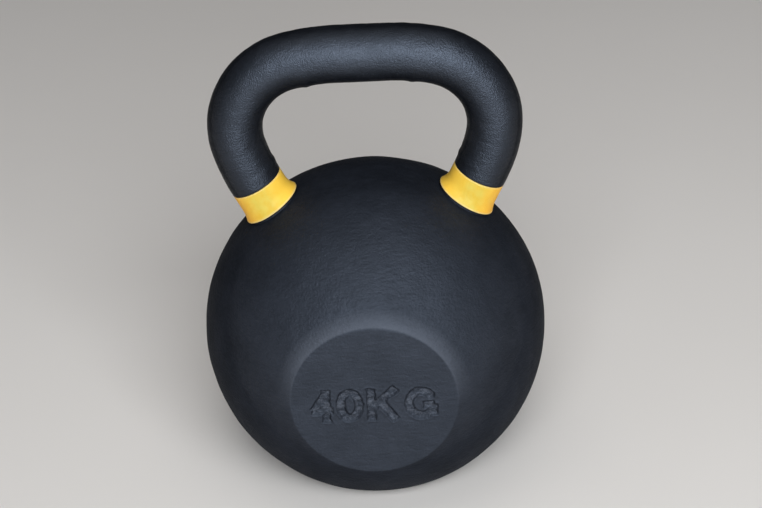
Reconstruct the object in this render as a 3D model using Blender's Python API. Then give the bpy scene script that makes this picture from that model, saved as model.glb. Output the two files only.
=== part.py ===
"""Kettlebell of 40 kg: a cast ball, a bent steel handle welded into it and two colour bands.

Metres, +Z up.  The origin is at the middle of the flat base.  The handle lies along X and the
face with the weight figure looks along -Y.
"""
import math

import bmesh
import bpy
from mathutils import Vector

# ---------------------------------------------------------------- driving dimensions

BALL_RADIUS = 0.1095            # the sphere that the body is cast as
CROWN_RATIO = 0.97              # the upper half is this much lower than a sphere
BASE_CUT = 0.0200               # depth of the sphere's cap that the flat base takes off
FACE_CUT = 0.0127               # depth of the caps that the front and back flats take off
FACE_EDGE = 0.0022              # radius that rounds the flats into the ball

BAR_RADIUS = 0.0175             # grip, a round bar of 35 mm
FOOT_DRAW = 0.0005              # how much thinner, in radius, the bar is at its feet
TENON_DEPTH = 0.0280            # how far the bar's turned end reaches below the ball's surface
TENON_CHAMFER = 0.0015
HALF_GRIP = 0.0155              # straight middle of the grip, from the centre line out
CROWN_BEND = (0.1350, 12.0)     # radius and angle of the three bends of each side, top to foot
CORNER_BEND = (0.0460, 91.4)
SIDE_BEND = (0.1100, 13.1)
LEG_REST = 0.0013               # straight leg that shows between the band and the last bend

WELD_HEIGHT = 0.0014            # bead between the ball and the band
WELD_TUCK = 0.0008              # how far the bead's edge stays inside the band's foot
BAND_HEIGHT = 0.0178            # top of the bands above the ball, along the leg
BAND_WALL = 0.0015              # band's thickness, let into the bar so that it lies flush
BAND_FLARE = 0.0024             # mean flare of the band's foot
BAND_FLARE_SHIFT = 0.0009       # the foot's shift towards the other leg
BAND_FLARE_HEIGHT = 0.0085      # part of the band's height that flares
BAND_CHAMFER = 0.0004

FIGURE_HEIGHT = 0.0223          # height of the weight figures
FIGURE_STROKE = 0.0048          # width of their strokes
FIGURE_DEPTH = 0.0014
FIGURE_GAP = 0.0026             # between one figure and the next
FIGURE_DROP = 0.0028            # their middle below the middle of the flat

CLEARANCE = 0.0003              # between pieces that touch

BALL_SEGMENTS = 96
BALL_STEP = math.radians(4.0)
BAR_SEGMENTS = 48
BEND_STEP = math.radians(6.0)

FACE_REACH = BALL_RADIUS - FACE_CUT
BALL_CENTRE = Vector((0.0, 0.0, BALL_RADIUS - BASE_CUT))
FOOT_RADIUS = BAR_RADIUS - FOOT_DRAW
SOCKET_RADIUS = FOOT_RADIUS - BAND_WALL
TENON_RADIUS = SOCKET_RADIUS - CLEARANCE
LEG_LENGTH = BAND_HEIGHT + LEG_REST
LEAN = math.radians(CROWN_BEND[1] + CORNER_BEND[1] + SIDE_BEND[1] - 90.0)


# ---------------------------------------------------------------- materials

def paint(name, colour, roughness, metallic):
    """A Principled BSDF of one colour."""
    material = bpy.data.materials.new(name)
    material.use_nodes = True
    shader = material.node_tree.nodes["Principled BSDF"]
    shader.inputs["Base Color"].default_value = (*colour, 1.0)
    shader.inputs["Roughness"].default_value = roughness
    shader.inputs["Metallic"].default_value = metallic
    return material


# ---------------------------------------------------------------- mesh helpers

def add_object(name, bm, material=None):
    """Turns a bmesh into an object, shaded smooth up to the edges of 30 degrees and over."""
    bmesh.ops.recalc_face_normals(bm, faces=bm.faces)
    mesh = bpy.data.meshes.new(name)
    bm.to_mesh(mesh)
    bm.free()
    mesh.shade_smooth()
    mesh.set_sharp_from_angle(angle=math.radians(30.0))
    obj = bpy.data.objects.new(name, mesh)
    bpy.context.scene.collection.objects.link(obj)
    if material:
        mesh.materials.append(material)
    return obj


def as_cutter(obj):
    """Marks an object as a guide that the model leaves out."""
    obj.hide_render = True
    obj.display_type = "WIRE"
    return obj


def cut(obj, cutter):
    """Takes the cutter's solid out of an object."""
    modifier = obj.modifiers.new("cut " + cutter.name, "BOOLEAN")
    modifier.operation = "DIFFERENCE"
    modifier.solver = "EXACT"
    modifier.object = cutter


def loft(bm, rings, closed=False):
    """Skins rings of points into a solid: end caps, or a closed loop of rings without them."""
    loops = [[bm.verts.new(point) for point in ring] for ring in rings]
    pairs = list(zip(loops, loops[1:]))
    if closed:
        pairs.append((loops[-1], loops[0]))
    else:
        bm.faces.new(loops[0])
        bm.faces.new(loops[-1])
    for lower, upper in pairs:
        count = len(lower)
        for i in range(count):
            j = (i + 1) % count
            bm.faces.new((lower[i], lower[j], upper[j], upper[i]))


# ---------------------------------------------------------------- ball

def crown_height(x, grow=0.0):
    """Height of the ball's crown above its centre at a distance x from the middle."""
    return CROWN_RATIO * math.sqrt((BALL_RADIUS + grow) ** 2 - x ** 2)


def ball_profile(grow):
    """Half section of the ball about its front-to-back axis: flat, rounded edge, arc, edge, flat."""
    radius = BALL_RADIUS + grow
    reach = FACE_REACH + grow
    edge = FACE_EDGE
    start = math.acos((reach - edge) / (radius - edge))
    edge_x = (radius - edge) * math.sin(start)
    points = [Vector((0.0, reach))]
    edge_steps = 4
    for i in range(edge_steps):
        turn = start * i / edge_steps
        points.append(Vector((edge_x + edge * math.sin(turn), reach - edge + edge * math.cos(turn))))
    arc_steps = max(8, round((math.pi - 2.0 * start) / BALL_STEP))
    for i in range(arc_steps + 1):
        turn = start + (math.pi - 2.0 * start) * i / arc_steps
        points.append(Vector((radius * math.sin(turn), radius * math.cos(turn))))
    mirrored = [Vector((p.x, -p.y)) for p in reversed(points[:edge_steps + 1])]
    return points + mirrored


def ball_solid(name, grow=0.0, material=None):
    """The cast ball turned about Y, with its upper half flattened; grow offsets its surface."""
    bm = bmesh.new()
    profile = ball_profile(grow)
    rings = []
    for p in profile[1:-1]:
        ring = []
        for i in range(BALL_SEGMENTS):
            turn = 2.0 * math.pi * i / BALL_SEGMENTS
            height = p.x * math.sin(turn)
            if height > 0.0:
                height *= CROWN_RATIO
            ring.append(BALL_CENTRE + Vector((p.x * math.cos(turn), -p.y, height)))
        rings.append(ring)
    loft(bm, rings)
    return add_object(name, bm, material)


def base_cutter():
    """Block below the flat base."""
    bm = bmesh.new()
    bmesh.ops.create_cube(bm, size=1.0)
    side = 3.0 * BALL_RADIUS
    bmesh.ops.scale(bm, vec=(side, side, side), verts=bm.verts)
    bmesh.ops.translate(bm, vec=(0.0, 0.0, -side / 2.0), verts=bm.verts)
    return as_cutter(add_object("cutter_base", bm))


# ---------------------------------------------------------------- handle

def handle_side():
    """Centre line of the right half, from the middle of the grip down to the ball.

    Returns the points with their directions, in a frame whose heights count from the grip.
    """
    point = Vector((0.0, 0.0, 0.0))
    line = [(point.copy(), 0.0)]
    point = Vector((HALF_GRIP, 0.0, 0.0))
    line.append((point.copy(), 0.0))
    heading = 0.0
    for radius, degrees in (CROWN_BEND, CORNER_BEND, SIDE_BEND):
        angle = math.radians(degrees)
        centre = point + radius * Vector((-math.sin(heading), 0.0, -math.cos(heading)))
        steps = max(2, round(angle / BEND_STEP))
        for i in range(1, steps + 1):
            turn = heading + angle * i / steps
            line.append((centre + radius * Vector((math.sin(turn), 0.0, math.cos(turn))), turn))
        heading += angle
        point = line[-1][0].copy()
    return line


def leg_down():
    """Direction of the right leg, from the handle down into the ball."""
    return Vector((-math.sin(LEAN), 0.0, -math.cos(LEAN)))


def handle_layout():
    """Places the bar so that its legs end on the ball; returns the line and the right foot."""
    line = handle_side()
    foot = line[-1][0] + leg_down() * LEG_LENGTH
    lift = BALL_CENTRE.z + crown_height(foot.x) - foot.z
    raised = [(point + Vector((0.0, 0.0, lift)), heading) for point, heading in line]
    return raised, foot + Vector((0.0, 0.0, lift))


def mirror_ring(ring):
    """The same ring on the left side."""
    return [Vector((-p.x, p.y, p.z)) for p in ring]


def bar_ring(point, heading, radius):
    """Ring of the bar at a point of its centre line."""
    inward = Vector((-math.sin(heading), 0.0, -math.cos(heading)))
    points = []
    for i in range(BAR_SEGMENTS):
        turn = 2.0 * math.pi * i / BAR_SEGMENTS
        points.append(point + radius * (math.cos(turn) * inward + math.sin(turn) * Vector((0, 1, 0))))
    return points


def half_handle(line, foot, side):
    """Rings of one half of the bar, from the grip's middle to the tenon's end."""
    down = leg_down()
    heading = math.pi / 2.0 + LEAN
    rings = []
    bend_total = line[-1][1]
    for point, turn in line:
        share = turn / bend_total
        rings.append(bar_ring(point, turn, BAR_RADIUS + (FOOT_RADIUS - BAR_RADIUS) * share))
    top = BAND_HEIGHT + CLEARANCE
    stations = (
        (top, FOOT_RADIUS),
        (top, TENON_RADIUS),
        (-(TENON_DEPTH - TENON_CHAMFER), TENON_RADIUS),
        (-TENON_DEPTH, TENON_RADIUS - TENON_CHAMFER),
    )
    for height, radius in stations:
        rings.append(bar_ring(foot - down * height, heading, radius))
    if side < 0:
        rings = [mirror_ring(ring) for ring in rings]
    return rings


def make_handle(line, foot, material):
    """The bent bar with a turned tenon at both ends."""
    right = half_handle(line, foot, 1)
    left = half_handle(line, foot, -1)
    bm = bmesh.new()
    loft(bm, list(reversed(left)) + right[1:])
    return add_object("handle", bm, material)


def socket_cutter(foot, side):
    """Blind hole in the ball for a tenon."""
    down = leg_down()
    heading = math.pi / 2.0 + LEAN
    outside = BALL_RADIUS / 3.0
    bottom = TENON_DEPTH + CLEARANCE
    rings = [bar_ring(foot - down * height, heading, SOCKET_RADIUS) for height in (outside, -bottom)]
    if side < 0:
        rings = [mirror_ring(ring) for ring in rings]
    bm = bmesh.new()
    loft(bm, rings)
    name = "cutter_socket_right" if side > 0 else "cutter_socket_left"
    return as_cutter(add_object(name, bm))


# ---------------------------------------------------------------- welds and colour bands

def flare_share(height):
    """Share of the flare at a height above the ball: a hollow curve that ends at the straight top."""
    reach = min(BAND_FLARE_HEIGHT, BAND_HEIGHT)
    depth = min(max(1.0 - height / reach, 0.0), 1.0)
    return depth ** 2.2


def collar(name, foot, side, stations, material):
    """A collar about a leg with a straight bore; stations give height, radius and shift."""
    down = leg_down()
    heading = math.pi / 2.0 + LEAN
    inward = Vector((-math.sin(heading), 0.0, -math.cos(heading)))
    outer = []
    for height, radius, shift in stations:
        outer.append(bar_ring(foot - down * height + inward * shift, heading, radius))
    bore = [bar_ring(foot - down * height, heading, SOCKET_RADIUS)
            for height in (stations[-1][0], stations[0][0])]
    rings = outer + bore
    if side < 0:
        rings = [mirror_ring(ring) for ring in rings]
    bm = bmesh.new()
    loft(bm, rings, closed=True)
    return add_object(name, bm, material)


def collar_start():
    """Height at which a collar's solid starts, deep enough to be trimmed by the ball all round."""
    return -(BALL_RADIUS * 0.12)


def make_band(name, foot, side, trim, material):
    """Moulded colour sleeve: flush with the bar at its top, flared at its foot."""
    steps = 14
    stations = [(collar_start(), FOOT_RADIUS + BAND_FLARE, BAND_FLARE_SHIFT)]
    for i in range(steps):
        height = (BAND_HEIGHT - BAND_CHAMFER) * i / (steps - 1)
        share = flare_share(height)
        stations.append((height, FOOT_RADIUS + BAND_FLARE * share, BAND_FLARE_SHIFT * share))
    stations.append((BAND_HEIGHT, FOOT_RADIUS - BAND_CHAMFER, 0.0))
    band = collar(name, foot, side, stations, material)
    cut(band, trim)
    return band


def make_weld(name, foot, side, ball_trim, bead_top, material):
    """Weld bead in the corner between the ball and the bar, under the band."""
    radius = FOOT_RADIUS + BAND_FLARE - WELD_TUCK
    stations = [(collar_start(), radius, BAND_FLARE_SHIFT), (BAND_HEIGHT, radius, BAND_FLARE_SHIFT)]
    weld = collar(name, foot, side, stations, material)
    cut(weld, ball_trim)
    keep = weld.modifiers.new("keep the bead", "BOOLEAN")
    keep.operation = "INTERSECT"
    keep.solver = "EXACT"
    keep.object = bead_top
    return weld


# ---------------------------------------------------------------- weight figures

def arc(cx, cz, rx, rz, start, stop, steps):
    """Points of an elliptic arc, its angles in degrees from +X towards +Z."""
    points = []
    for i in range(steps + 1):
        turn = math.radians(start + (stop - start) * i / steps)
        points.append((cx + rx * math.cos(turn), cz + rz * math.sin(turn)))
    return points


def figure_four(h, w):
    """Strokes of a 4 in a cell of height h; w is half a stroke."""
    width = 0.57 * h
    stem = 0.70 * width
    bar = 0.24 * h
    strokes = [
        ([(stem, 0.0), (stem, h)], False),
        ([(0.0, bar + w), (width, bar + w)], False),
        ([(0.6 * w, bar + w), (stem, h - w)], False),
    ]
    return width, strokes


def figure_nought(h, w):
    """Strokes of a 0: one closed oval."""
    width = 0.72 * h
    oval = arc(width / 2.0, h / 2.0, width / 2.0 - w, h / 2.0 - w, 0.0, 360.0, 32)[:-1]
    return width, [(oval, True)]


def letter_k(h, w):
    """Strokes of a K: a stem, an arm and a leg."""
    width = 0.915 * h
    strokes = [
        ([(w, 0.0), (w, h)], False),
        ([(w, 0.36 * h), (width - 1.3 * w, h)], False),
        ([(0.42 * width, 0.56 * h), (width - 1.3 * w, 0.0)], False),
    ]
    return width, strokes


def letter_g(h, w):
    """Strokes of a G: an open bow and a bar."""
    width = 0.875 * h
    rx = width / 2.0 - w
    rz = h / 2.0 - w
    bow = arc(width / 2.0, h / 2.0, rx, rz, 42.0, 360.0 - 38.0, 26)
    bar = [(0.56 * width, 0.44 * h), (width - w, 0.44 * h), (width - w, 0.12 * h)]
    return width, [(bow, False), (bar, False)]


def stroke_outline(path, half, closed):
    """Left and right edges of a stroke: its path offset by half its width, with mitred corners."""
    points = [Vector(p) for p in path]
    count = len(points)
    left = []
    right = []
    for i, here in enumerate(points):
        before = points[(i - 1) % count] if closed or i > 0 else None
        after = points[(i + 1) % count] if closed or i < count - 1 else None
        steps = [(here - before).normalized()] if before else []
        if after:
            steps.append((after - here).normalized())
        along = sum(steps, Vector((0.0, 0.0))).normalized()
        side = Vector((-along.y, along.x))
        reach = half / max(0.3, along.dot(steps[0]))
        left.append(here + side * reach)
        right.append(here - side * reach)
    return left, right


def stroke_cutter(name, path, closed, half, place, front, back):
    """One stroke as a prism between two planes of constant y."""
    left, right = stroke_outline(path, half, closed)

    def section(i):
        corners = ((left[i], front), (right[i], front), (right[i], back), (left[i], back))
        return [Vector((place.x + p.x, y, place.y + p.y)) for p, y in corners]

    bm = bmesh.new()
    loft(bm, [section(i) for i in range(len(left))], closed=closed)
    return as_cutter(add_object(name, bm))


def figure_cutters():
    """The strokes of the weight mark, one cutter each, all reaching the same depth."""
    half = FIGURE_STROKE / 2.0
    glyphs = [make(FIGURE_HEIGHT, half) for make in (figure_four, figure_nought, letter_k, letter_g)]
    total = sum(width for width, _ in glyphs) + FIGURE_GAP * (len(glyphs) - 1)
    front = -FACE_REACH - FACE_EDGE
    back = -FACE_REACH + FIGURE_DEPTH
    foot = BALL_CENTRE.z - FIGURE_DROP - FIGURE_HEIGHT / 2.0
    x = -total / 2.0
    cutters = []
    for width, strokes in glyphs:
        for path, closed in strokes:
            name = "cutter_stroke_" + str(len(cutters) + 1)
            cutters.append(stroke_cutter(name, path, closed, half, Vector((x, foot)), front, back))
        x += width + FIGURE_GAP
    return cutters


# ---------------------------------------------------------------- assembly

def main():
    for obj in list(bpy.data.objects):
        bpy.data.objects.remove(obj, do_unlink=True)

    black = paint("black_powder_coat", (0.022, 0.024, 0.028), 0.55, 0.0)
    yellow = paint("yellow_band", (0.83, 0.52, 0.06), 0.50, 0.0)

    line, foot = handle_layout()
    ball = ball_solid("ball", material=black)
    cut(ball, base_cutter())
    cut(ball, socket_cutter(foot, 1))
    cut(ball, socket_cutter(foot, -1))
    for cutter in figure_cutters():
        cut(ball, cutter)
    make_handle(line, foot, black)

    weld_gap = as_cutter(ball_solid("cutter_under_weld", CLEARANCE))
    weld_top = as_cutter(ball_solid("cutter_weld_top", CLEARANCE + WELD_HEIGHT))
    band_gap = as_cutter(ball_solid("cutter_under_band", 2.0 * CLEARANCE + WELD_HEIGHT))
    for word, side in (("left", -1), ("right", 1)):
        make_weld("weld_" + word, foot, side, weld_gap, weld_top, black)
        make_band("colour_band_" + word, foot, side, band_gap, yellow)


main()
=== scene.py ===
"""Kettlebell of 40 kg, dressed for show: cast ball, bent handle, weld beads and colour bands.

Metres, +Z up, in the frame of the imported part: the origin is at the middle of the flat base, the
handle lies along X and the face with the weight figure looks along -Y.
"""

import math

import bpy
import numpy as np
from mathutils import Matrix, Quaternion, Vector


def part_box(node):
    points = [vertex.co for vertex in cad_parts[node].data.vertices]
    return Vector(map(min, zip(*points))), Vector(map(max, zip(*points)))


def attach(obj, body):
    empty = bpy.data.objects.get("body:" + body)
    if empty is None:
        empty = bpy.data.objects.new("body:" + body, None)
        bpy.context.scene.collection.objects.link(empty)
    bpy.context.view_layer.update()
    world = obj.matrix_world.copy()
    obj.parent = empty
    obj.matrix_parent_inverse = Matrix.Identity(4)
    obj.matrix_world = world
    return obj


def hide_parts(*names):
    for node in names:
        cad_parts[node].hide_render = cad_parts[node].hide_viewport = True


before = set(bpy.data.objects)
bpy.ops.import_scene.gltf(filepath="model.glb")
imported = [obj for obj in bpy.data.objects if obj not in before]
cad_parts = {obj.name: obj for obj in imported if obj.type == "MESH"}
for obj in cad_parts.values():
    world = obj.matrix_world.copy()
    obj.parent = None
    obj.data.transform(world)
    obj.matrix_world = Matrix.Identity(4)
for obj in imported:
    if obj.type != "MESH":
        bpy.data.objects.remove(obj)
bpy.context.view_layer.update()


# ------------------------------------------------------------------------------------- camera
# A long lens looks down on the kettlebell from the front, a little from its right, and hangs
# slightly askew.

VIEW_AZIMUTH = math.radians(1.73)
VIEW_ELEVATION = math.radians(28.02)
VIEW_ROLL = math.radians(-2.99)
VIEW_DISTANCE = 1.2353
VIEW_AIM = Vector((0.0058, 0.0, 0.1385))
VIEW_LENS = 91.57

camera_data = bpy.data.cameras.new("camera")
camera_data.lens = VIEW_LENS
camera_data.sensor_width = 36.0
camera = bpy.data.objects.new("camera", camera_data)
bpy.context.scene.collection.objects.link(camera)
bpy.context.scene.camera = camera

view_back = Vector((
    math.sin(VIEW_AZIMUTH) * math.cos(VIEW_ELEVATION),
    -math.cos(VIEW_AZIMUTH) * math.cos(VIEW_ELEVATION),
    math.sin(VIEW_ELEVATION),
))
camera.location = VIEW_AIM + view_back * VIEW_DISTANCE
camera.rotation_mode = "QUATERNION"
camera.rotation_quaternion = (
    (-view_back).to_track_quat("-Z", "Y") @ Quaternion((0.0, 0.0, 1.0), VIEW_ROLL)
)


# --------------------------------------------------------------------------------------- ball
# The body is one iron casting, a sphere with its upper half a little low.  It has a flat base to
# stand on and a round flat in front and behind; the front one carries the weight, cast in
# sunken figures.  The whole casting is shot-blasted and coated with a pebbled black powder.

BALL_RADIUS = 0.1095
CROWN_RATIO = 0.97              # height of the upper half over a sphere's
BASE_CUT = 0.0200               # depth of the cap that the base takes off the sphere
BASE_EDGE = 0.0030              # how softly the base runs into the ball
FACE_EDGE = 0.0022              # radius between the flats and the ball

FIGURE_HEIGHT = 0.0223
FIGURE_STROKE = 0.0048
FIGURE_DEPTH = 0.0014
FIGURE_WALL = 0.0015            # width of the sloping wall round each figure
FIGURE_GAP = 0.0026
FIGURE_DROP = 0.0028            # middle of the figures below the middle of the flat
FIGURE_FIELD = (0.0415, 0.0140)  # half sizes of the finely meshed field round them
FIGURE_MESH = 0.00045

FIGURE_RAGGED = ((0.00045, 0.0030, 5), (0.00022, 0.0014, 6))  # unevenness of their outline
FIGURE_ROUGH = ((0.00034, 0.0021, 7),)                        # and of their floor
BURR_HEIGHT = 0.00018           # raised lip that the mould leaves round the figures
BURR_PLACE = 0.0011
BURR_WIDTH = 0.0006
BURR_SIZE = 0.0017
BURR_SEED = 8

BALL_SKIN = ((0.00022, 0.0210, 3), (0.00009, 0.0070, 4))      # height, size and seed of its lumps
SKIN_CLEAR = 0.0040             # height above the base that stays smooth
SKIN_RISE = 0.0120              # height over which the lumps then come in
FLAT_SKIN = 0.25                # share of the lumps that the flats keep
FLAT_FADE = 0.0200

BALL_MESH = 0.0021              # spacing of the rings over the ball
FLAT_MESH = 0.0030
FIELD_RINGS = 14                # rings between the field of figures and the flat's edge
FIELD_CLEAR = 0.0010            # space between the last of them and the edge
EDGE_RINGS = 6
POLE_CLEAR = 0.0020             # radius of the smallest ring on the back

COAT_DARK = (0.0088, 0.0103, 0.0140)
COAT_PALE = (0.0168, 0.0195, 0.0265)
# pale blue-grey of the painted highlight on the flats' upper edge and of the painted glints in the figures
COAT_PAINTED_HIGHLIGHT = (0.0430, 0.0480, 0.0600)
COAT_GLINT = (0.66, 0.78, 1.0)  # tint of the light that the coats throw back
CLOUD_SCALE = 38.0              # scales of the coats' noises, from broad to fine
SWELL_SCALE = 170.0
STREAK_SCALE = 520.0
STREAK_STRETCH = (0.30, 0.55, 1.0)

HIGHLIGHT_RISE = (0.0500, 0.0510)     # distances from the flats' middle between which the painted highlight comes in
HIGHLIGHT_FALL = (0.0515, 0.0605)     # and goes out again
HIGHLIGHT_ABOVE = (-0.0050, 0.0300)   # heights from the ball's middle between which it comes in
FIGURE_REACH = (0.0440, 0.0450)  # distances from the flat's middle between which the painted glint specks end
SUNK_DEPTH = (0.0002, 0.0009)   # depths between which the figures get painted glint specks
FRONT_FADE = 0.0100             # depth behind the ball's middle where no glints are painted

face_reach = -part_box("ball")[0].y
ball_middle = BALL_RADIUS - BASE_CUT


def ease(share):
    """Runs from 0 to 1 with level ends: 3 s squared less 2 s cubed, held at 0 and 1 outside."""
    share = np.clip(share, 0.0, 1.0)
    return share * share * (3.0 - 2.0 * share)


def lumps(points, size, seed):
    """Smooth random heights from -1 to 1: random values on a cubic lattice with cells of the
    given size, blended between the eight corners with weights that ease in and out."""
    cells = 32
    lattice = np.random.default_rng(seed).uniform(-1.0, 1.0, (cells, cells, cells))
    place = points / size
    corner = np.floor(place).astype(int)
    share = ease(place - corner)
    height = np.zeros(points.shape[:-1])
    for step in np.ndindex(2, 2, 2):
        step = np.array(step)
        weight = np.prod(np.where(step == 1, share, 1.0 - share), axis=-1)
        i, j, k = np.moveaxis((corner + step) % cells, -1, 0)
        height += weight * lattice[i, j, k]
    return height


def unevenness(points, layers):
    """Sum of layers of smooth random heights, each with a height, a size of lump and a seed."""
    return sum(height * lumps(points, size, seed) for height, size, seed in layers)


def ring_faces(rows, columns, first=0, closed=False):
    """Quads of a grid whose rows are closed rings; closed also joins the last row to the first."""
    row = np.arange(rows if closed else rows - 1)[:, None]
    column = np.arange(columns)[None, :]
    here = row * columns
    above = (row + 1) % rows * columns
    beside = (column + 1) % columns
    quads = np.stack([here + column, here + beside, above + beside, above + column], axis=-1)
    return first + quads.reshape(-1, 4)


def add_piece(name, points, faces, material, node):
    """Makes a smooth-shaded piece that rides on the one body and stands for a CAD node."""
    mesh = bpy.data.meshes.new(name)
    mesh.from_pydata(points.tolist(), [], faces)
    mesh.shade_smooth()
    mesh.materials.append(material)
    mesh.validate()
    piece = bpy.data.objects.new(name, mesh)
    bpy.context.scene.collection.objects.link(piece)
    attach(piece, "root")
    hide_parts(node)
    return piece


def ball_meridian(along):
    """Section of the ball at an arc length from the middle of its front flat: the distance from
    the front-to-back axis, the reach forward and the tilt of the surface.  It is a straight flat,
    an arc of the edge's radius and an arc of the ball's, then the same again in reverse."""
    start = math.acos((face_reach - FACE_EDGE) / (BALL_RADIUS - FACE_EDGE))
    flat = (BALL_RADIUS - FACE_EDGE) * math.sin(start)
    edge_end = flat + FACE_EDGE * start
    half = edge_end + BALL_RADIUS * (math.pi / 2.0 - start)
    front = along <= half
    near = np.where(front, along, 2.0 * half - along)
    edge_turn = (near - flat) / FACE_EDGE
    ball_turn = start + (near - edge_end) / BALL_RADIUS
    parts = [near < flat, near < edge_end]
    turn = np.select(parts, [0.0 * near, edge_turn], ball_turn)
    out = np.select(parts, [near, flat + FACE_EDGE * np.sin(edge_turn)], BALL_RADIUS * np.sin(ball_turn))
    reach = np.select(
        parts,
        [face_reach + 0.0 * near, face_reach - FACE_EDGE + FACE_EDGE * np.cos(edge_turn)],
        BALL_RADIUS * np.cos(ball_turn),
    )
    side = np.where(front, 1.0, -1.0)
    return out, side * reach, np.where(front, turn, math.pi - turn), (flat, edge_end, 2.0 * half)


def arc(cx, cy, rx, ry, start, stop, steps):
    """Points of an elliptic arc between two angles in degrees."""
    turn = np.radians(np.linspace(start, stop, steps + 1))
    return np.stack([cx + rx * np.cos(turn), cy + ry * np.sin(turn)], axis=-1)


def weight_figures():
    """Strokes of the figures 4 and 0 and the unit kg in capitals, as paths on the front flat."""
    h = FIGURE_HEIGHT
    w = FIGURE_STROKE / 2.0
    four = 0.57 * h
    nought = 0.72 * h
    k = 0.915 * h
    g = 0.875 * h
    glyphs = (
        (four, (
            [(0.70 * four, 0.0), (0.70 * four, h)],
            [(0.0, 0.24 * h + w), (four, 0.24 * h + w)],
            [(0.6 * w, 0.24 * h + w), (0.70 * four, h - w)],
        )),
        (nought, (arc(nought / 2.0, h / 2.0, nought / 2.0 - w, h / 2.0 - w, 0.0, 360.0, 32),)),
        (k, (
            [(w, 0.0), (w, h)],
            [(w, 0.36 * h), (k - 1.3 * w, h)],
            [(0.42 * k, 0.56 * h), (k - 1.3 * w, 0.0)],
        )),
        (g, (
            arc(g / 2.0, h / 2.0, g / 2.0 - w, h / 2.0 - w, 42.0, 322.0, 26),
            [(0.56 * g, 0.44 * h), (g - w, 0.44 * h), (g - w, 0.12 * h)],
        )),
    )
    total = sum(width for width, _ in glyphs) + FIGURE_GAP * (len(glyphs) - 1)
    place = np.array([-total / 2.0, -h / 2.0 - FIGURE_DROP])
    paths = []
    for width, strokes in glyphs:
        paths += [place + np.array(stroke) for stroke in strokes]
        place = place + np.array([width + FIGURE_GAP, 0.0])
    return paths


def outside_figures(x, y):
    """Distance on the front flat to the nearest stroke's edge, negative inside it.  A straight
    stroke is a box along its path; a curved one is every place within half a stroke of it."""
    half = FIGURE_STROKE / 2.0
    nearest = np.full(x.shape, 1.0)
    for path in weight_figures():
        curved = len(path) > 3
        for start, stop in zip(path[:-1], path[1:]):
            middle = (start + stop) / 2.0
            length = np.linalg.norm(stop - start)
            along = (stop - start) / length
            run = np.abs((x - middle[0]) * along[0] + (y - middle[1]) * along[1]) - length / 2.0
            off = np.abs((y - middle[1]) * along[0] - (x - middle[0]) * along[1])
            if curved:
                edge = np.hypot(np.maximum(run, 0.0), off) - half
            else:
                off = off - half
                apart = np.hypot(np.maximum(run, 0.0), np.maximum(off, 0.0))
                edge = apart + np.minimum(np.maximum(run, off), 0.0)
            nearest = np.minimum(nearest, edge)
    return nearest


def ball_points(x, h, reach, tilt_out, tilt_front):
    """Puts points of the turned shape in place: lowers the crown, levels the base with a soft
    edge, sinks the figures inside a raised lip and adds the unevenness of a sand casting."""
    h = np.where(h > 0.0, CROWN_RATIO * h, h)
    base = -ball_middle
    blend = np.maximum(BASE_EDGE - np.abs(h - base), 0.0)
    level = np.maximum(h, base) + blend * blend / (4.0 * BASE_EDGE)
    points = np.stack([x, -reach, ball_middle + level], axis=-1)

    off_flat = FLAT_SKIN + (1.0 - FLAT_SKIN) * ease((BALL_RADIUS - reach) / FLAT_FADE)
    skin = ease((level - base - SKIN_CLEAR) / SKIN_RISE) * off_flat
    push = skin * unevenness(points, BALL_SKIN)
    sink = np.zeros(x.shape)
    front = reach > face_reach - 1e-5
    near = points[front]
    rim = outside_figures(x[front], h[front]) + unevenness(near, FIGURE_RAGGED)
    depth = ease(0.5 - rim / FIGURE_WALL)
    floor = FIGURE_DEPTH + unevenness(near, FIGURE_ROUGH)
    burr = BURR_HEIGHT * (1.0 + lumps(near, BURR_SIZE, BURR_SEED))
    burr = burr * np.exp(-((rim - BURR_PLACE) / BURR_WIDTH) ** 2)
    sink[front] = depth * floor - burr
    points[..., 0] += push * tilt_out[0]
    points[..., 1] += -push * tilt_front + sink
    points[..., 2] += push * tilt_out[1]
    return points


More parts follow.
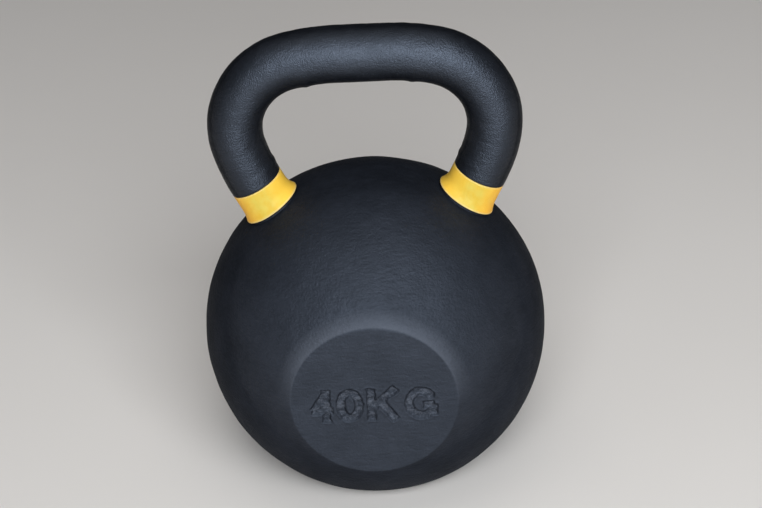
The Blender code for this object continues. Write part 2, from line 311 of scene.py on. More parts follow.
def ball_mesh():
    """The ball as a fine square grid on the field of figures, and rings round it that widen over
    the front flat into circles and then follow the ball's section to the back."""
    wide, high = FIGURE_FIELD
    columns = 2 * round(wide / FIGURE_MESH) + 1
    rows = 2 * round(high / FIGURE_MESH) + 1
    grid_x, grid_h = np.meshgrid(np.linspace(-wide, wide, columns), np.linspace(-high, high, rows))
    grid_h = grid_h - FIGURE_DROP
    none = np.zeros(grid_x.shape)
    field = ball_points(grid_x, grid_h, face_reach + none, (none, none), none + 1.0)

    index = np.arange(rows * columns).reshape(rows, columns)
    rim = np.concatenate([index[:, -1], index[-1, -2::-1], index[-2::-1, 0], index[0, 1:-1]])
    rim_x = grid_x.ravel()[rim]
    rim_h = grid_h.ravel()[rim]
    step = np.hypot(np.diff(rim_x, append=rim_x[0]), np.diff(rim_h, append=rim_h[0]))
    gone = np.concatenate([[0.0], np.cumsum(step)[:-1]])
    turn = 2.0 * math.pi * (gone - high) / step.sum()

    _, _, _, (flat, edge_end, total) = ball_meridian(np.array([0.0]))
    widen = ease(np.linspace(0.0, 1.0, FIELD_RINGS + 1)[1:])[:, None] ** 0.8
    circle = flat - FIELD_CLEAR
    ring_x = rim_x + widen * (circle * np.cos(turn) - rim_x)
    ring_h = rim_h + widen * (circle * np.sin(turn) - rim_h)
    none = np.zeros(ring_x.shape)
    flat_part = ball_points(ring_x, ring_h, face_reach + none, (none, none), none + 1.0)

    edge = np.linspace(flat, edge_end, EDGE_RINGS)
    ball = np.linspace(edge_end, total - edge_end, round((total - 2.0 * edge_end) / BALL_MESH))
    back = np.linspace(total - flat, total - POLE_CLEAR, round(flat / FLAT_MESH))
    along = np.concatenate([edge, ball[1:], (total - edge)[-2::-1], back[1:]])
    out, reach, tilt, _ = ball_meridian(along[:, None] + 0.0 * turn)
    outward = (np.sin(tilt) * np.cos(turn), np.sin(tilt) * np.sin(turn))
    body = ball_points(out * np.cos(turn), out * np.sin(turn), reach, outward, np.cos(tilt))

    count = len(rim)
    pole = np.array([[0.0, face_reach, ball_middle]])
    points = np.concatenate([field.reshape(-1, 3), flat_part.reshape(-1, 3), body.reshape(-1, 3), pole])
    squares = np.stack([index[:-1, :-1], index[:-1, 1:], index[1:, 1:], index[1:, :-1]], axis=-1)
    first = rows * columns
    follow = np.roll(np.arange(count), -1)
    seam = np.stack([rim, rim[follow], first + follow, first + np.arange(count)], axis=-1)
    rings = ring_faces(len(flat_part) + len(body), count, first)
    last = len(points) - 1 - count
    fan = np.stack([last + np.arange(count), last + follow, np.full(count, len(points) - 1)], axis=-1)
    faces = squares.reshape(-1, 4).tolist() + seam[:, ::-1].tolist() + rings[:, ::-1].tolist()
    return points, faces + fan[:, ::-1].tolist()


def new_group(name, inputs, outputs):
    """Starts a shader node group with a vector input and float sockets of these names, and
    returns it with its input and output nodes."""
    group = bpy.data.node_groups.new(name, "ShaderNodeTree")
    group.interface.new_socket("Vector", in_out="INPUT", socket_type="NodeSocketVector")
    for word in inputs:
        group.interface.new_socket(word, in_out="INPUT", socket_type="NodeSocketFloat")
    for word in outputs:
        group.interface.new_socket(word, in_out="OUTPUT", socket_type="NodeSocketFloat")
    return group, group.nodes.new("NodeGroupInput"), group.nodes.new("NodeGroupOutput")


def math_node(tree, operation, first, second):
    """A Math node; each value is a socket to link or a number."""
    node = tree.nodes.new("ShaderNodeMath")
    node.operation = operation
    for socket, value in zip(node.inputs, (first, second)):
        if isinstance(value, (int, float)):
            socket.default_value = value
        else:
            tree.links.new(value, socket)
    return node.outputs[0]


def noise_node(tree, vector, scale, detail, roughness=0.5):
    """A Noise Texture read at a vector; the scale is a socket or a number."""
    node = tree.nodes.new("ShaderNodeTexNoise")
    node.inputs["Detail"].default_value = detail
    node.inputs["Roughness"].default_value = roughness
    tree.links.new(vector, node.inputs["Vector"])
    if isinstance(scale, (int, float)):
        node.inputs["Scale"].default_value = scale
    else:
        tree.links.new(scale, node.inputs["Scale"])
    return node.outputs["Fac"]


def stretched(tree, vector, stretch):
    """A vector whose parts are multiplied by three numbers, to draw a texture out into streaks."""
    node = tree.nodes.new("ShaderNodeVectorMath")
    node.operation = "MULTIPLY"
    tree.links.new(vector, node.inputs[0])
    node.inputs[1].default_value = stretch
    return node.outputs["Vector"]


def counted_from(tree, vector, point):
    """A vector counted from a point."""
    node = tree.nodes.new("ShaderNodeVectorMath")
    node.operation = "SUBTRACT"
    tree.links.new(vector, node.inputs[0])
    node.inputs[1].default_value = tuple(point)
    return node.outputs["Vector"]


def distance_from(tree, vector, centre, stretch):
    """Distance of a vector from a point, once its parts are multiplied by three numbers."""
    length = tree.nodes.new("ShaderNodeVectorMath")
    length.operation = "LENGTH"
    tree.links.new(stretched(tree, counted_from(tree, vector, centre), stretch), length.inputs[0])
    return length.outputs["Value"]


def distance_along(tree, vector, start, direction):
    """How far a vector lies from a point, measured along a direction of length one."""
    dot = tree.nodes.new("ShaderNodeVectorMath")
    dot.operation = "DOT_PRODUCT"
    tree.links.new(counted_from(tree, vector, start), dot.inputs[0])
    dot.inputs[1].default_value = tuple(direction)
    return dot.outputs["Value"]


def build_powder_grain():
    """Grain of a textured powder coat: rounded pebbles, finer grit between them, short level
    streaks and broad cloudy changes of sheen.  It puts out a height, a cloud mask and a mask of
    specks, and takes the scales of the pebbles and the grit and the strength of the streaks."""
    scales = ("Pebbles", "Grit", "Streak")
    group, start, end = new_group("powder_grain", scales, ("Height", "Cloud", "Speck"))
    vector = start.outputs["Vector"]
    pebbles = group.nodes.new("ShaderNodeTexVoronoi")
    pebbles.feature = "SMOOTH_F1"
    pebbles.inputs["Smoothness"].default_value = 0.6
    group.links.new(vector, pebbles.inputs["Vector"])
    group.links.new(start.outputs["Pebbles"], pebbles.inputs["Scale"])
    grit = noise_node(group, vector, start.outputs["Grit"], 3.0, 0.6)
    swell = noise_node(group, vector, SWELL_SCALE, 2.0)
    streak = noise_node(group, stretched(group, vector, STREAK_STRETCH), STREAK_SCALE, 3.0, 0.6)
    cloud = noise_node(group, vector, CLOUD_SCALE, 5.0, 0.6)
    domes = math_node(group, "SUBTRACT", 1.0, pebbles.outputs["Distance"])
    height = math_node(group, "MULTIPLY", domes, 0.55)
    height = math_node(group, "ADD", height, math_node(group, "MULTIPLY", grit, 0.75))
    height = math_node(group, "ADD", height, math_node(group, "MULTIPLY", swell, 0.6))
    drawn = math_node(group, "MULTIPLY", streak, start.outputs["Streak"])
    height = math_node(group, "ADD", height, drawn)
    speck = math_node(group, "MULTIPLY", math_node(group, "ADD", grit, streak), 0.5)
    group.links.new(height, end.inputs["Height"])
    group.links.new(cloud, end.inputs["Cloud"])
    group.links.new(speck, end.inputs["Speck"])
    return group


def ramp_node(tree, value, low, high, start, stop):
    """A Map Range node that carries a value from one range to another."""
    node = tree.nodes.new("ShaderNodeMapRange")
    tree.links.new(value, node.inputs["Value"])
    for name, number in (("From Min", low), ("From Max", high), ("To Min", start), ("To Max", stop)):
        node.inputs[name].default_value = number
    return node.outputs["Result"]


def mix_node(tree, factor, first, second):
    """A colour mix; each colour is a socket or three numbers."""
    node = tree.nodes.new("ShaderNodeMix")
    node.data_type = "RGBA"
    tree.links.new(factor, node.inputs["Factor"])
    for socket, colour in ((node.inputs[6], first), (node.inputs[7], second)):
        if isinstance(colour, tuple):
            socket.default_value = (*colour, 1.0)
        else:
            tree.links.new(colour, socket)
    return node.outputs[2]


def new_material(name, group, values):
    """Starts a material with a grain group read at Object coordinates; the last thing that it
    gives back is the socket of those coordinates."""
    material = bpy.data.materials.new(name)
    material.use_nodes = True
    tree = material.node_tree
    shader = tree.nodes["Principled BSDF"]
    where = tree.nodes.new("ShaderNodeTexCoord").outputs["Object"]
    grain = tree.nodes.new("ShaderNodeGroup")
    grain.node_tree = group
    tree.links.new(where, grain.inputs["Vector"])
    for word, number in values.items():
        grain.inputs[word].default_value = number
    return material, tree, shader, grain, where


def bump_node(tree, shader, height, relief):
    """Feeds a height through a Bump node to the shader's normal; relief is in metres."""
    bump = tree.nodes.new("ShaderNodeBump")
    bump.inputs["Strength"].default_value = 1.0
    bump.inputs["Distance"].default_value = relief
    tree.links.new(height, bump.inputs["Height"])
    tree.links.new(bump.outputs["Normal"], shader.inputs["Normal"])


def powder_coat(name, pebbles, grit, streak, relief, rough, shine, dark, pale_colour):
    """Textured black powder coat: near-black with a blue cast, paler and shinier in random specks,
    streaks and cloudy patches, and duller between them.  At a glancing angle its grain hides the
    shiny parts of itself, so the shine fades."""
    values = {"Pebbles": pebbles, "Grit": grit, "Streak": streak}
    material, tree, shader, grain, where = new_material(name, powder_grain, values)
    cloud = ramp_node(tree, grain.outputs["Cloud"], 0.35, 0.65, 0.0, 1.0)
    speck = ramp_node(tree, grain.outputs["Speck"], 0.38, 0.62, 0.0, 1.0)
    pale = math_node(tree, "MULTIPLY", cloud, 0.5)
    pale = math_node(tree, "ADD", pale, math_node(tree, "MULTIPLY", speck, 0.5))
    tree.links.new(mix_node(tree, pale, dark, pale_colour), shader.inputs["Base Color"])
    tree.links.new(ramp_node(tree, pale, 0.0, 1.0, rough + 0.06, rough - 0.06), shader.inputs["Roughness"])
    shader.inputs["Specular Tint"].default_value = (*COAT_GLINT, 1.0)
    layer = tree.nodes.new("ShaderNodeLayerWeight")
    layer.inputs["Blend"].default_value = 0.5
    facing = ramp_node(tree, layer.outputs["Facing"], 0.12, 0.52, shine, 0.05 * shine)
    tree.links.new(facing, shader.inputs["Specular IOR Level"])
    bump_node(tree, shader, grain.outputs["Height"], relief)
    return material, tree, shader, grain, where


def cast_coat():
    """The ball's coat, with a painted highlight along the upper edge of the flats and painted glints,
    in specks, in the sunken figures."""
    material, tree, shader, grain, where = powder_coat(
        "ball_powder_coat", 560.0, 1200.0, 1.1, 0.00040, 0.60, 0.42, COAT_DARK, COAT_PALE,
    )
    # Painted highlight: a pale band on the rounded upper edge of the flats, where the front light glints.
    away = distance_from(tree, where, (0.0, 0.0, ball_middle), (1.0, 0.0, 1.0))
    rise = ramp_node(tree, away, *HIGHLIGHT_RISE, 0.0, 1.0)
    painted_highlight = math_node(tree, "MINIMUM", rise, ramp_node(tree, away, *HIGHLIGHT_FALL, 1.0, 0.0))
    parts = tree.nodes.new("ShaderNodeSeparateXYZ")
    tree.links.new(where, parts.inputs["Vector"])
    low, high = (ball_middle + height for height in HIGHLIGHT_ABOVE)
    above = ramp_node(tree, parts.outputs["Z"], low, high, 0.0, 1.0)
    painted_highlight = math_node(tree, "MULTIPLY", painted_highlight, above)
    # Painted glints: pale specks on the walls and floors of the sunken figures.
    low, high = (depth - face_reach for depth in SUNK_DEPTH)
    sunk_glint = ramp_node(tree, parts.outputs["Y"], low, high, 0.0, 1.0)
    sunk_glint = math_node(tree, "MULTIPLY", sunk_glint, ramp_node(tree, away, *FIGURE_REACH, 1.0, 0.0))
    front = ramp_node(tree, parts.outputs["Y"], 0.0, FRONT_FADE, 1.0, 0.0)
    speck = ramp_node(tree, grain.outputs["Speck"], 0.49, 0.57, 0.0, 1.0)
    sunk_glint = math_node(tree, "MULTIPLY", math_node(tree, "MULTIPLY", sunk_glint, front), speck)
    painted_highlight = math_node(tree, "MAXIMUM", painted_highlight, sunk_glint)
    colour = shader.inputs["Base Color"].links[0].from_socket
    tree.links.new(mix_node(tree, painted_highlight, colour, COAT_PAINTED_HIGHLIGHT), shader.inputs["Base Color"])
    return material


powder_grain = build_powder_grain()
points, faces = ball_mesh()
add_piece("cast_ball", points, faces, cast_coat(), "ball")


# ------------------------------------------------------------------------------------- handle
# One 35 mm steel bar, bent hot round three radii on each side: the crown of the grip, a tight
# corner and a slow return.  Its ends are turned down where the bands, the welds and the ball's
# sockets take them.  It has the ball's kind of coat, darker, glossier and finer in the grain.

BAR_RADIUS = 0.0175
FOOT_DRAW = 0.0005              # how much thinner the bar is at its feet
BAND_WALL = 0.0015
CLEARANCE = 0.0003
TENON_DEPTH = 0.0280
TENON_CHAMFER = 0.0015
HALF_GRIP = 0.0155
BENDS = ((0.1350, 12.0), (0.0460, 91.4), (0.1100, 13.1))
LEG_REST = 0.0013
BAND_HEIGHT = 0.0178

BAR_MESH = 0.0010
BAR_SIDES = 110
SHOULDER_EDGE = 0.0004
LUMP_PLACES = (                 # distance from the middle, to the right, and height
    (-0.1350, 0.0005),
    (-0.0365, 0.0006),
    (0.0320, 0.0006),
    (0.1350, 0.0005),
)
LUMP_LENGTH = 0.0026
BAR_SKIN = ((0.00022, 0.0160, 11), (0.00010, 0.0052, 12), (0.00005, 0.0026, 13))
SKIN_END = 0.0040               # length over which the bar turns smooth above a band
WRINKLE_SLANT = math.radians(12.0)
WRINKLE_STRETCH = (0.16, 0.16, 1.0)
WRINKLE_SCALE = 540.0
WRINKLE_FADE = (0.0450, 0.0150)  # depths below the bar between which the wrinkles fade out
WRINKLE_SHARE = 0.7
GRIP_DARK = (0.0040, 0.0046, 0.0062)
GRIP_PALE = (0.0090, 0.0102, 0.0135)

foot_radius = BAR_RADIUS - FOOT_DRAW
socket_radius = foot_radius - BAND_WALL
tenon_radius = socket_radius - CLEARANCE
lean = math.radians(sum(degrees for _, degrees in BENDS) - 90.0)
bend_lengths = [radius * math.radians(degrees) for radius, degrees in BENDS]
leg_start = HALF_GRIP + sum(bend_lengths)
leg_length = BAND_HEIGHT + LEG_REST
bar_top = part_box("handle")[1].z - BAR_RADIUS


def bar_line(along):
    """Right half of the bar's centre line at a distance from the middle of the grip: a straight,
    three arcs and a straight, each adding its own run.  Gives x, z and the heading below level."""
    x = np.minimum(along, HALF_GRIP)
    z = np.full(along.shape, bar_top)
    heading = np.zeros(along.shape)
    begin = HALF_GRIP
    turned = 0.0
    for (radius, degrees), length in zip(BENDS, bend_lengths):
        turn = np.clip(along - begin, 0.0, length) / radius
        x = x + radius * (np.sin(turned + turn) - math.sin(turned))
        z = z + radius * (np.cos(turned + turn) - math.cos(turned))
        heading = heading + turn
        begin += length
        turned += math.radians(degrees)
    leg = np.maximum(along - begin, 0.0)
    return x + leg * np.cos(heading), z - leg * np.sin(heading), heading


def bar_half(shoulder):
    """Distances and radii down one half of the bar, to the turned tenon's end."""
    ball = leg_start + leg_length
    step_down = ball - shoulder
    grip = np.arange(0.0, step_down - SHOULDER_EDGE, BAR_MESH)
    heading = bar_line(grip)[2]
    radius = BAR_RADIUS - FOOT_DRAW * heading / (math.pi / 2.0 + lean)
    edge = np.radians(np.linspace(0.0, 90.0, 5))
    edge_along = step_down - SHOULDER_EDGE + SHOULDER_EDGE * np.sin(edge)
    edge_radius = foot_radius - SHOULDER_EDGE + SHOULDER_EDGE * np.cos(edge)
    end = ball + TENON_DEPTH
    tenon_along = np.array([step_down, ball - 0.0020, end - TENON_CHAMFER, end])
    tenon_radii = np.array([tenon_radius, tenon_radius, tenon_radius, tenon_radius - TENON_CHAMFER])
    along = np.concatenate([grip, edge_along, tenon_along])
    return along, np.concatenate([radius, edge_radius, tenon_radii])


def bar_mesh():
    """The bar as rings carried along its centre line, square to it, with both ends closed."""
    half, half_radius = bar_half(BAND_HEIGHT + CLEARANCE)
    along = np.concatenate([-half[:0:-1], half])
    radius = np.concatenate([half_radius[:0:-1], half_radius])
    side = np.where(along < 0.0, -1.0, 1.0)
    x, z, heading = bar_line(np.abs(along))
    middle = np.stack([side * x, 0.0 * x, z], axis=-1)
    inward = np.stack([-side * np.sin(heading), 0.0 * x, -np.cos(heading)], axis=-1)
    across = np.array([0.0, 1.0, 0.0])
    turn = 2.0 * math.pi * np.arange(BAR_SIDES) / BAR_SIDES
    out = np.cos(turn)[None, :, None] * inward[:, None, :] + np.sin(turn)[None, :, None] * across
    points = middle[:, None, :] + radius[:, None, None] * out

    shown = (radius > tenon_radius + 0.0002)[:, None]
    relief = unevenness(points, BAR_SKIN)
    for place, height in LUMP_PLACES:
        bulge = np.exp(-((along - place) / LUMP_LENGTH) ** 2)
        relief = relief + height * bulge[:, None] * np.maximum(np.cos(turn), 0.0)[None, :] ** 2
    near_end = ease((leg_start + leg_length - BAND_HEIGHT - np.abs(along)) / SKIN_END)[:, None]
    points = points + (shown * near_end * relief)[..., None] * out

    ends = middle[[0, -1]]
    rows = len(along)
    faces = ring_faces(rows, BAR_SIDES)[:, ::-1].tolist()
    here = np.arange(BAR_SIDES)
    follow = np.roll(here, -1)
    first = rows * BAR_SIDES
    start_fan = np.stack([here, follow, np.full(BAR_SIDES, first)], axis=-1)
    last = first - BAR_SIDES
    end_fan = np.stack([last + follow, last + here, np.full(BAR_SIDES, first + 1)], axis=-1)
    points = np.concatenate([points.reshape(-1, 3), ends])
    return points, faces + start_fan.tolist() + end_fan.tolist()


def build_leg_wrinkles():
    """Fine wavy wrinkles that run round the bar's legs: noise drawn out square to the slant of
    the legs, fading in below the corners."""
    group, start, end = new_group("leg_wrinkles", (), ("Height",))
    parts = group.nodes.new("ShaderNodeSeparateXYZ")
    group.links.new(start.outputs["Vector"], parts.inputs["Vector"])
    out = math_node(group, "ABSOLUTE", parts.outputs["X"], 0.0)
    sideways = math_node(group, "MULTIPLY", out, math.sin(WRINKLE_SLANT))
    upward = math_node(group, "MULTIPLY", parts.outputs["Z"], math.cos(WRINKLE_SLANT))
    along = math_node(group, "ADD", sideways, upward)
    joined = group.nodes.new("ShaderNodeCombineXYZ")
    for socket, value in zip(joined.inputs, (parts.outputs["X"], parts.outputs["Y"], along)):
        group.links.new(value, socket)
    drawn = stretched(group, joined.outputs["Vector"], WRINKLE_STRETCH)
    wrinkle = noise_node(group, drawn, WRINKLE_SCALE, 2.0)
    low, high = (bar_top - depth for depth in WRINKLE_FADE)
    fade = ramp_node(group, parts.outputs["Z"], low, high, 1.0, 0.0)
    group.links.new(math_node(group, "MULTIPLY", wrinkle, fade), end.inputs["Height"])
    return group


def grip_coat():
    """The handle's coat: the powder's grain with the wrinkles added to its height."""
    material, tree, shader, grain, where = powder_coat(
        "handle_powder_coat", 1100.0, 1600.0, 0.25, 0.00033, 0.38, 0.66, GRIP_DARK, GRIP_PALE,
    )
    wrinkles = tree.nodes.new("ShaderNodeGroup")
    wrinkles.node_tree = build_leg_wrinkles()
    tree.links.new(where, wrinkles.inputs["Vector"])
    bump = shader.inputs["Normal"].links[0].from_node
    extra = math_node(tree, "MULTIPLY", wrinkles.outputs["Height"], WRINKLE_SHARE)
    tree.links.new(math_node(tree, "ADD", grain.outputs["Height"], extra), bump.inputs["Height"])
    return material


points, faces = bar_mesh()
add_piece("bent_handle", points, faces, grip_coat(), "handle")


# -------------------------------------------------------------------------------- weld beads
# A bead of weld closes the corner between the ball and each foot of the bar.  It is dressed by
# hand, coated with the rest and almost hidden under the foot of the band.

WELD_HEIGHT = 0.0014
WELD_TUCK = 0.0008              # how far the bead's edge stays inside the band's foot
WELD_LIFT = 0.00015             # space between the bead and the ball
WELD_RISE = 0.0002              # what the bead's upper face stands above its height
RIPPLE_HOLLOW = (0.0003, 0.0002)  # hollow of the bead's edge, and what its ripples add
BAND_FLARE = 0.0024
BAND_FLARE_SHIFT = 0.0009
COLLAR_SIDES = 160

collar_turn = 2.0 * math.pi * np.arange(COLLAR_SIDES) / COLLAR_SIDES
foot_flare = BAND_FLARE + BAND_FLARE_SHIFT * np.cos(collar_turn)


def leg_axes(side):
    """Foot of a leg on the ball, its direction up the leg and the direction to the other leg."""
    x, z, _ = bar_line(np.array([leg_start + leg_length]))
    foot = np.array([side * x[0], 0.0, z[0]])
    up = np.array([side * math.sin(lean), 0.0, math.cos(lean)])
    inward = np.array([-side * math.cos(lean), 0.0, math.sin(lean)])
    return foot, up, inward


def collar_points(side, height, radius):
    """Points about a leg at heights above its foot and distances from its centre line; the last
    axis of both runs round the leg."""
    foot, up, inward = leg_axes(side)
    out = np.cos(collar_turn)[:, None] * inward + np.sin(collar_turn)[:, None] * np.array([0.0, 1.0, 0.0])
    return foot + height[..., None] * up + radius[..., None] * out


def ball_height(side, radius, grow):
    """Height along a leg at which lines parallel to it meet the ball's crown, raised by grow: the
    larger root of the quadratic for a line through an ellipsoid."""
    squash = np.array([1.0, 1.0, 1.0 / CROWN_RATIO])
    _, up, _ = leg_axes(side)
    start = (collar_points(side, 0.0 * radius, radius) - np.array([0.0, 0.0, ball_middle])) * squash
    along = up * squash
    a = along @ along
    b = start @ along
    c = (start ** 2).sum(axis=-1) - (BALL_RADIUS + grow) ** 2
    return (-b + np.sqrt(b * b - a * c)) / a


def collar_faces(rows, side):
    """Quads of a collar whose section is a closed loop, wound to face outwards on both sides."""
    faces = ring_faces(rows, COLLAR_SIDES, closed=True)
    return (faces if side < 0 else faces[:, ::-1]).tolist()


def weld_mesh(side):
    """The bead: level with the ball below and the band above, with a hollow, slightly rippled
    edge between them.  Its section runs round from the bore."""
    edge = foot_radius + foot_flare - WELD_TUCK
    ripple = 0.5 + 0.5 * np.sin(23.0 * collar_turn + 1.5 * np.sin(3.0 * collar_turn))
    share = np.linspace(0.0, 1.0, 4)[:, None]
    low_radius = socket_radius + share * (edge - socket_radius)
    low = ball_height(side, low_radius, WELD_LIFT)
    bow = np.linspace(0.0, 1.0, 6)[1:, None]
    bow_radius = edge - (RIPPLE_HOLLOW[0] + RIPPLE_HOLLOW[1] * ripple) * np.sin(math.pi * bow)
    bow_low = ball_height(side, bow_radius, WELD_LIFT)
    bow_height = bow_low + (WELD_HEIGHT + WELD_RISE) * bow
    top_radius = bow_radius[-1] + share[1:] * (socket_radius - bow_radius[-1])
    top = ball_height(side, top_radius, WELD_HEIGHT + WELD_LIFT + WELD_RISE)
    radius = np.concatenate([low_radius, bow_radius, top_radius])
    height = np.concatenate([low, bow_height, top])
    return collar_points(side, height, radius).reshape(-1, 3), collar_faces(len(radius), side)


weld_coat, *_ = powder_coat(
    "weld_powder_coat", 700.0, 1700.0, 0.3, 0.00018, 0.60, 0.30, GRIP_DARK, GRIP_PALE,
)
for word, side in (("left", -1.0), ("right", 1.0)):
    points, faces = weld_mesh(side)
    add_piece("weld_bead_" + word, points, faces, weld_coat, "weld_" + word)


# ------------------------------------------------------------------------------- colour bands
# A golden yellow band wraps the foot of each leg and marks the weight.  It lies flush with the
# bar at its top and flares out along the ball towards the other leg.  Its enamel is mottled
# yellow; orange towards the outer side is painted shade, brighter gold towards the inner one is
# painted light, and a paler line along both edges is a painted highlight.

BAND_FLARE_HEIGHT = 0.0085
BAND_LIP = 0.0004
BAND_WAVE = ((0.00006, 0.0060, 21),)
WAVE_RISE = 0.0010              # distance from the bore over which the wave comes in
OUTER_SHADE_TURN = (-0.0030, -0.0150)  # places across a leg between which the orange painted shade comes in
INNER_LIGHT_TURN = (0.0050, 0.0150)   # and the brighter gold painted light
TOP_HIGHLIGHT = 0.0012                # width of the painted highlight line along the top
LOW_HIGHLIGHT = (0.0002, 0.0013)      # heights above the foot between which the lower painted highlight line fades
BAND_YELLOW = (0.58, 0.385, 0.040)
BAND_LEMON = (0.57, 0.44, 0.072)
# orange painted shade for the leg's outer side and brighter gold painted light for its inner side
BAND_SHADE_ORANGE = (0.88, 0.43, 0.035)
BAND_LIT_GOLD = (0.88, 0.53, 0.055)
# cream of the painted highlight lines along the band's edges
BAND_HIGHLIGHT_CREAM = (0.74, 0.60, 0.33)


def band_mesh(side):
    """The band: from a rounded foot that follows the ball, up a hollow flare into a straight
    sleeve, over a small lip and back down its bore."""
    top = BAND_HEIGHT
    foot_grow = WELD_HEIGHT + 2.0 * CLEARANCE
    toe = foot_radius + foot_flare
    low = ball_height(side, toe, foot_grow)
    share = np.linspace(0.0, 1.0, 22)[:, None]
    wall_height = low + BAND_LIP + share * (top - 2.0 * BAND_LIP - low)
    flare = np.clip(1.0 - (wall_height - low) / BAND_FLARE_HEIGHT, 0.0, 1.0) ** 2.2
    wall_radius = foot_radius + foot_flare * flare
    lip = np.radians(np.linspace(0.0, 90.0, 4))[1:, None]
    lip_radius = foot_radius - BAND_LIP + BAND_LIP * np.cos(lip) + 0.0 * toe
    lip_height = top - BAND_LIP + BAND_LIP * np.sin(lip) + 0.0 * toe
    bore_share = np.linspace(0.0, 1.0, 6)[:, None]
    bore_low = ball_height(side, 0.0 * toe + socket_radius, foot_grow)
    bore_height = top + bore_share * (bore_low - top)
    bore_radius = socket_radius + 0.0 * bore_height
    under_share = np.linspace(0.0, 1.0, 5)[1:, None]
    under_radius = socket_radius + under_share * (toe - BAND_LIP - socket_radius)
    under_height = ball_height(side, under_radius, foot_grow)
    radius = np.concatenate([wall_radius, lip_radius, bore_radius, under_radius])
    height = np.concatenate([wall_height, lip_height, bore_height, under_height])
    points = collar_points(side, height, radius)
    wave = unevenness(points, BAND_WAVE) * ease((radius - socket_radius) / WAVE_RISE)
    points = collar_points(side, height, radius + wave)
    return points.reshape(-1, 3), collar_faces(len(radius), side)


def build_band_grain():
    """Look of a thick brushed-on enamel: soft mottling and a fine orange-peel."""
    group, start, end = new_group("band_grain", ("Mottle", "Peel"), ("Height", "Cloud"))
    vector = start.outputs["Vector"]
    cloud = noise_node(group, vector, start.outputs["Mottle"], 4.0, 0.6)
    peel = noise_node(group, vector, start.outputs["Peel"], 2.0)
    height = math_node(group, "ADD", peel, math_node(group, "MULTIPLY", cloud, 0.6))
    group.links.new(height, end.inputs["Height"])
    group.links.new(cloud, end.inputs["Cloud"])
    return group


def yellow_enamel(side):
    """Yellow of the bands: mottled from lemon to gold, with orange painted shade towards the outside,
    brighter gold painted light towards the other leg, and cream painted highlights in two lines along its
    edges."""
    name = "band_yellow_left" if side < 0.0 else "band_yellow_right"
    scales = {"Mottle": 190.0, "Peel": 900.0}
    material, tree, shader, grain, where = new_material(name, band_grain, scales)
    foot, up, inward = leg_axes(side)
    mottle = ramp_node(tree, grain.outputs["Cloud"], 0.35, 0.65, 0.0, 1.0)
    body = mix_node(tree, mottle, BAND_LEMON, BAND_YELLOW)
    across = distance_along(tree, where, foot, inward)
    # Painted shade and light: orange towards the leg's outer side, brighter gold towards its inner side.
    body = mix_node(tree, ramp_node(tree, across, *OUTER_SHADE_TURN, 0.0, 0.85), body, BAND_SHADE_ORANGE)
    body = mix_node(tree, ramp_node(tree, across, *INNER_LIGHT_TURN, 0.0, 0.9), body, BAND_LIT_GOLD)
    # Painted highlights: cream lines along the top edge and the foot of the band.
    upward = distance_along(tree, where, foot, up)
    top_highlight = ramp_node(tree, upward, BAND_HEIGHT - TOP_HIGHLIGHT, BAND_HEIGHT, 0.0, 0.35)
    from_ball = distance_from(tree, where, (0.0, 0.0, ball_middle), (1.0, 1.0, 1.0 / CROWN_RATIO))
    foot_grow = BALL_RADIUS + WELD_HEIGHT + 2.0 * CLEARANCE
    low, high = (foot_grow + height for height in LOW_HIGHLIGHT)
    low_highlight = ramp_node(tree, from_ball, low, high, 0.55, 0.0)
    edge_highlights = math_node(tree, "MAXIMUM", top_highlight, low_highlight)
    tree.links.new(mix_node(tree, edge_highlights, body, BAND_HIGHLIGHT_CREAM), shader.inputs["Base Color"])
    rough = ramp_node(tree, grain.outputs["Cloud"], 0.3, 0.7, 0.50, 0.62)
    tree.links.new(rough, shader.inputs["Roughness"])
    shader.inputs["Specular IOR Level"].default_value = 0.25
    bump_node(tree, shader, grain.outputs["Height"], 0.00008)
    return material


band_grain = build_band_grain()
for word, side in (("left", -1.0), ("right", 1.0)):
    points, faces = band_mesh(side)
    enamel = yellow_enamel(side)
    add_piece("yellow_band_" + word, points, faces, enamel, "colour_band_" + word)


# ------------------------------------------------------------------------------------- studio
# A plain pale floor, three soft lights and a faint, even light from all round.  The brightest
# shines from above the viewer, a small one from low in front and a broad one from overhead.

FLOOR_RADIUS = 12.0
FLOOR_SIDES = 64
FLOOR_PALE = (0.80, 0.765, 0.735)
FLOOR_SHADE = (0.76, 0.725, 0.695)
ROOM_LIGHT = (0.62, 0.66, 0.74)
ROOM_STRENGTH = 0.07
LIGHTS_AIM = Vector((0.0, 0.0, 0.15))


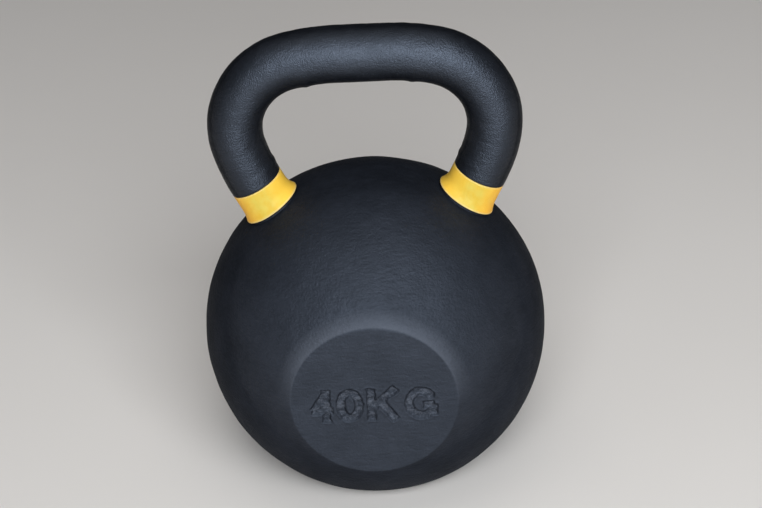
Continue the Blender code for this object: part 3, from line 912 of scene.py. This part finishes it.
def add_floor():
    """A large round floor, level with the flat base."""
    turn = 2.0 * math.pi * np.arange(FLOOR_SIDES) / FLOOR_SIDES
    points = FLOOR_RADIUS * np.stack([np.cos(turn), np.sin(turn), 0.0 * turn], axis=-1)
    mesh = bpy.data.meshes.new("floor")
    mesh.from_pydata(points.tolist(), [], [list(range(FLOOR_SIDES))])
    material = bpy.data.materials.new("floor_pale")
    material.use_nodes = True
    tree = material.node_tree
    shader = tree.nodes["Principled BSDF"]
    place = tree.nodes.new("ShaderNodeTexCoord")
    cloud = noise_node(tree, place.outputs["Object"], 3.0, 3.0)
    tree.links.new(mix_node(tree, cloud, FLOOR_SHADE, FLOOR_PALE), shader.inputs["Base Color"])
    shader.inputs["Roughness"].default_value = 0.7
    mesh.materials.append(material)
    floor = bpy.data.objects.new("floor", mesh)
    bpy.context.scene.collection.objects.link(floor)


def add_soft_light(name, azimuth, elevation, distance, size, watts, colour):
    """A level, oblong area light at a bearing from the kettlebell's middle, facing it."""
    data = bpy.data.lights.new(name, "AREA")
    data.shape = "RECTANGLE"
    data.size, data.size_y = size
    data.energy = watts
    data.color = colour
    light = bpy.data.objects.new(name, data)
    bpy.context.scene.collection.objects.link(light)
    a = math.radians(azimuth)
    e = math.radians(elevation)
    back = Vector((math.sin(a) * math.cos(e), -math.cos(a) * math.cos(e), math.sin(e)))
    light.location = LIGHTS_AIM + back * distance
    light.rotation_mode = "QUATERNION"
    light.rotation_quaternion = (-back).to_track_quat("-Z", "Y")


add_floor()
add_soft_light("window", 9.0, 35.0, 2.4, (2.1, 1.3), 66.0, (0.95, 0.98, 1.0))
add_soft_light("front", 8.0, 3.0, 2.2, (0.9, 0.9), 25.0, (0.93, 0.97, 1.0))
add_soft_light("ceiling", 0.0, 88.0, 2.6, (2.4, 2.4), 18.0, (1.0, 0.97, 0.93))
world = bpy.data.worlds.new("room")
world.use_nodes = True
world.node_tree.nodes["Background"].inputs["Color"].default_value = (*ROOM_LIGHT, 1.0)
world.node_tree.nodes["Background"].inputs["Strength"].default_value = ROOM_STRENGTH
bpy.context.scene.world = world
bpy.context.scene.view_settings.view_transform = "Standard"
